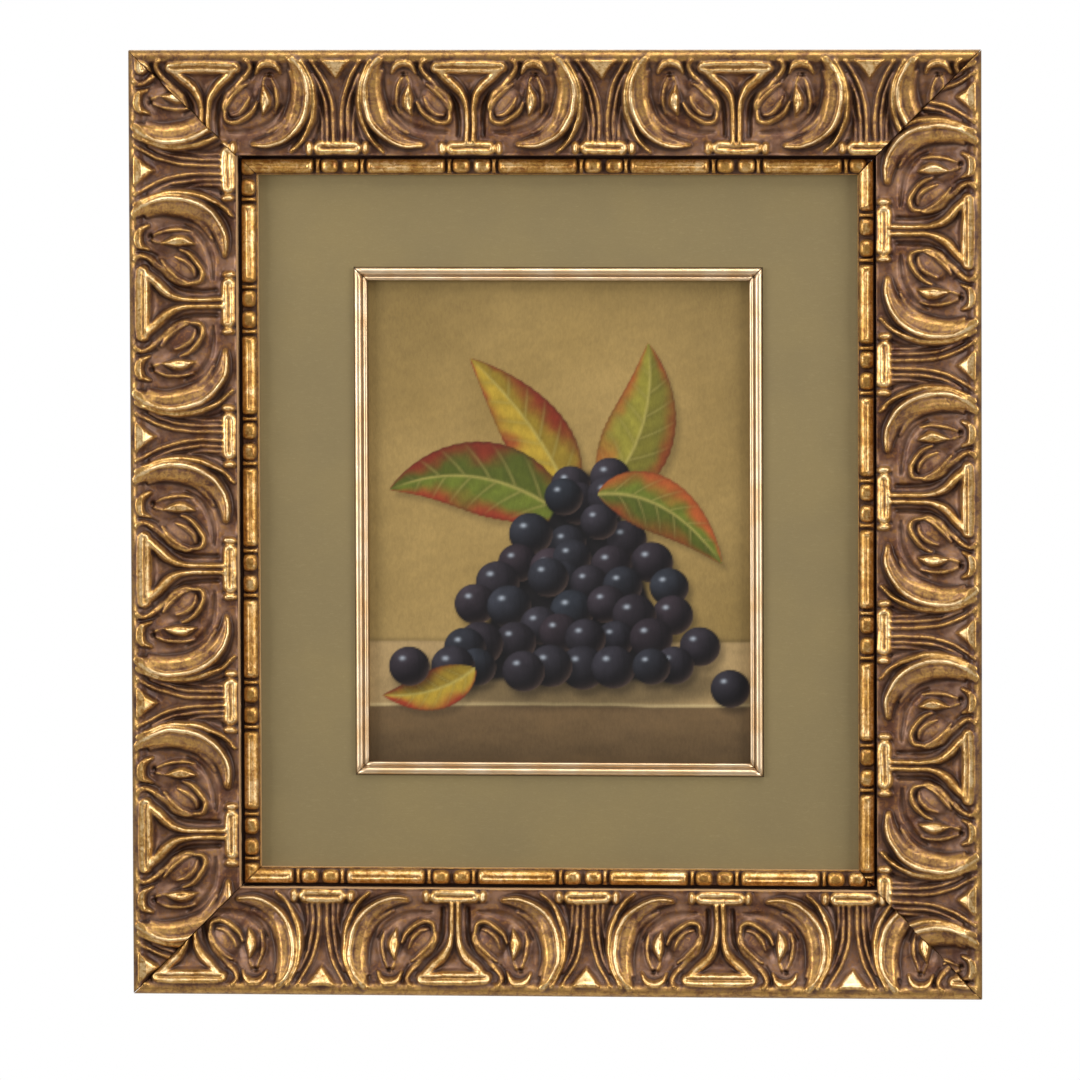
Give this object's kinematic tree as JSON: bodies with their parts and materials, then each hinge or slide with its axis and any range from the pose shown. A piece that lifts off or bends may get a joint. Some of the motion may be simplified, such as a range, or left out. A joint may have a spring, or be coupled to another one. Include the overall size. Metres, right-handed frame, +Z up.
{
  "type": "framed picture",
  "caption": "Small still life panel in an olive mat and pale gold fillet, in a wide carved and gilded frame that hangs on a wall.",
  "frame": {"origin": "centre of the sawtooth hanger's raised back face, where it bears on the wall", "axes": "+Z up, +X to the picture's right as seen from the front, -Y out of the wall towards the viewer; the wall is the plane Y = 0"},
  "size_m": [0.438, 0.0424, 0.486],
  "materials": {
    "gilded_carving": "carved relief under rubbed gold leaf, with a purple-brown patina in the hollows",
    "gilded_slip": "bar-and-bead moulding under rubbed gold leaf, dark in the gaps",
    "pale_gold_leaf": "smooth moulding under burnished pale gold leaf",
    "olive_board": "matte olive-khaki mat board",
    "painted_panel": "oil paint on a thin board, satin",
    "grey_board": "plain grey board",
    "kraft_board": "plain brown backing board",
    "bare_steel": "thin pressed steel",
    "brass": "small round-head nails",
    "felt": "self-adhesive felt"
  },
  "bodies": {
    "root": {"rail_top": "gilded_carving", "rail_bottom": "gilded_carving", "rail_left": "gilded_carving", "rail_right": "gilded_carving", "slip_top": "gilded_slip", "slip_bottom": "gilded_slip", "slip_left": "gilded_slip", "slip_right": "gilded_slip", "mat": "olive_board", "fillet_top": "pale_gold_leaf", "fillet_bottom": "pale_gold_leaf", "fillet_left": "pale_gold_leaf", "fillet_right": "pale_gold_leaf", "picture_panel": "painted_panel", "sink_board": "grey_board", "backing_board": "kraft_board", "glazing_point_top_1": "bare_steel", "glazing_point_top_2": "bare_steel", "glazing_point_bottom_1": "bare_steel", "glazing_point_bottom_2": "bare_steel", "glazing_point_left_1": "bare_steel", "glazing_point_left_2": "bare_steel", "glazing_point_left_3": "bare_steel", "glazing_point_right_1": "bare_steel", "glazing_point_right_2": "bare_steel", "glazing_point_right_3": "bare_steel", "hanger": "bare_steel", "hanger_nail_left": "brass", "hanger_nail_right": "brass", "bumper_left": "felt", "bumper_right": "felt"}
  },
  "joints": []
}
